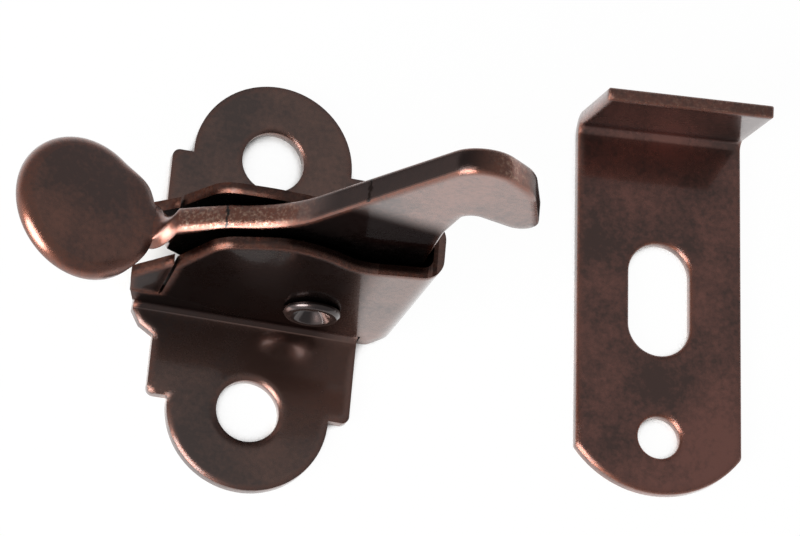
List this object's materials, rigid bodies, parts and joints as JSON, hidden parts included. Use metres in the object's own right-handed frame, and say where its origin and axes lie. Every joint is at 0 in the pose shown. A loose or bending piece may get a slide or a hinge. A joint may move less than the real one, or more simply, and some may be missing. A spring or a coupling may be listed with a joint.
{
  "type": "cupboard catch",
  "caption": "Elbow catch with a sprung hook lever on a folded screw-on bracket, and the slotted angle strike that the hook holds; pressing the thumb paddle frees it.",
  "frame": {"origin": "midway between the two base screw holes, on the mounting face", "axes": "+Z out of the mounting face, +X towards the hook's side, +Y along the pivot and the line of the screws"},
  "size_m": [0.0719, 0.0428, 0.0398],
  "materials": {
    "antique_copper": "dark antique copper plating, rubbed bright along the edges",
    "spring_wire": "plain drawn spring wire"
  },
  "bodies": {
    "base": {"bracket": "antique_copper", "pivot_rivet": "antique_copper", "torsion_spring": "spring_wire", "strike_plate": "antique_copper"},
    "lever": {"lever": "antique_copper"}
  },
  "joints": [
    {"name": "lever_pivot", "type": "hinge", "parent": "base", "child": "lever", "pos_m": [0.004, 0, 0.006], "axis": [0, 1, 0], "range_deg": [-14, 0], "stiffness_Nm_per_rad": 0.04, "springref_deg": 28.65, "deforming": ["torsion_spring"]}
  ]
}
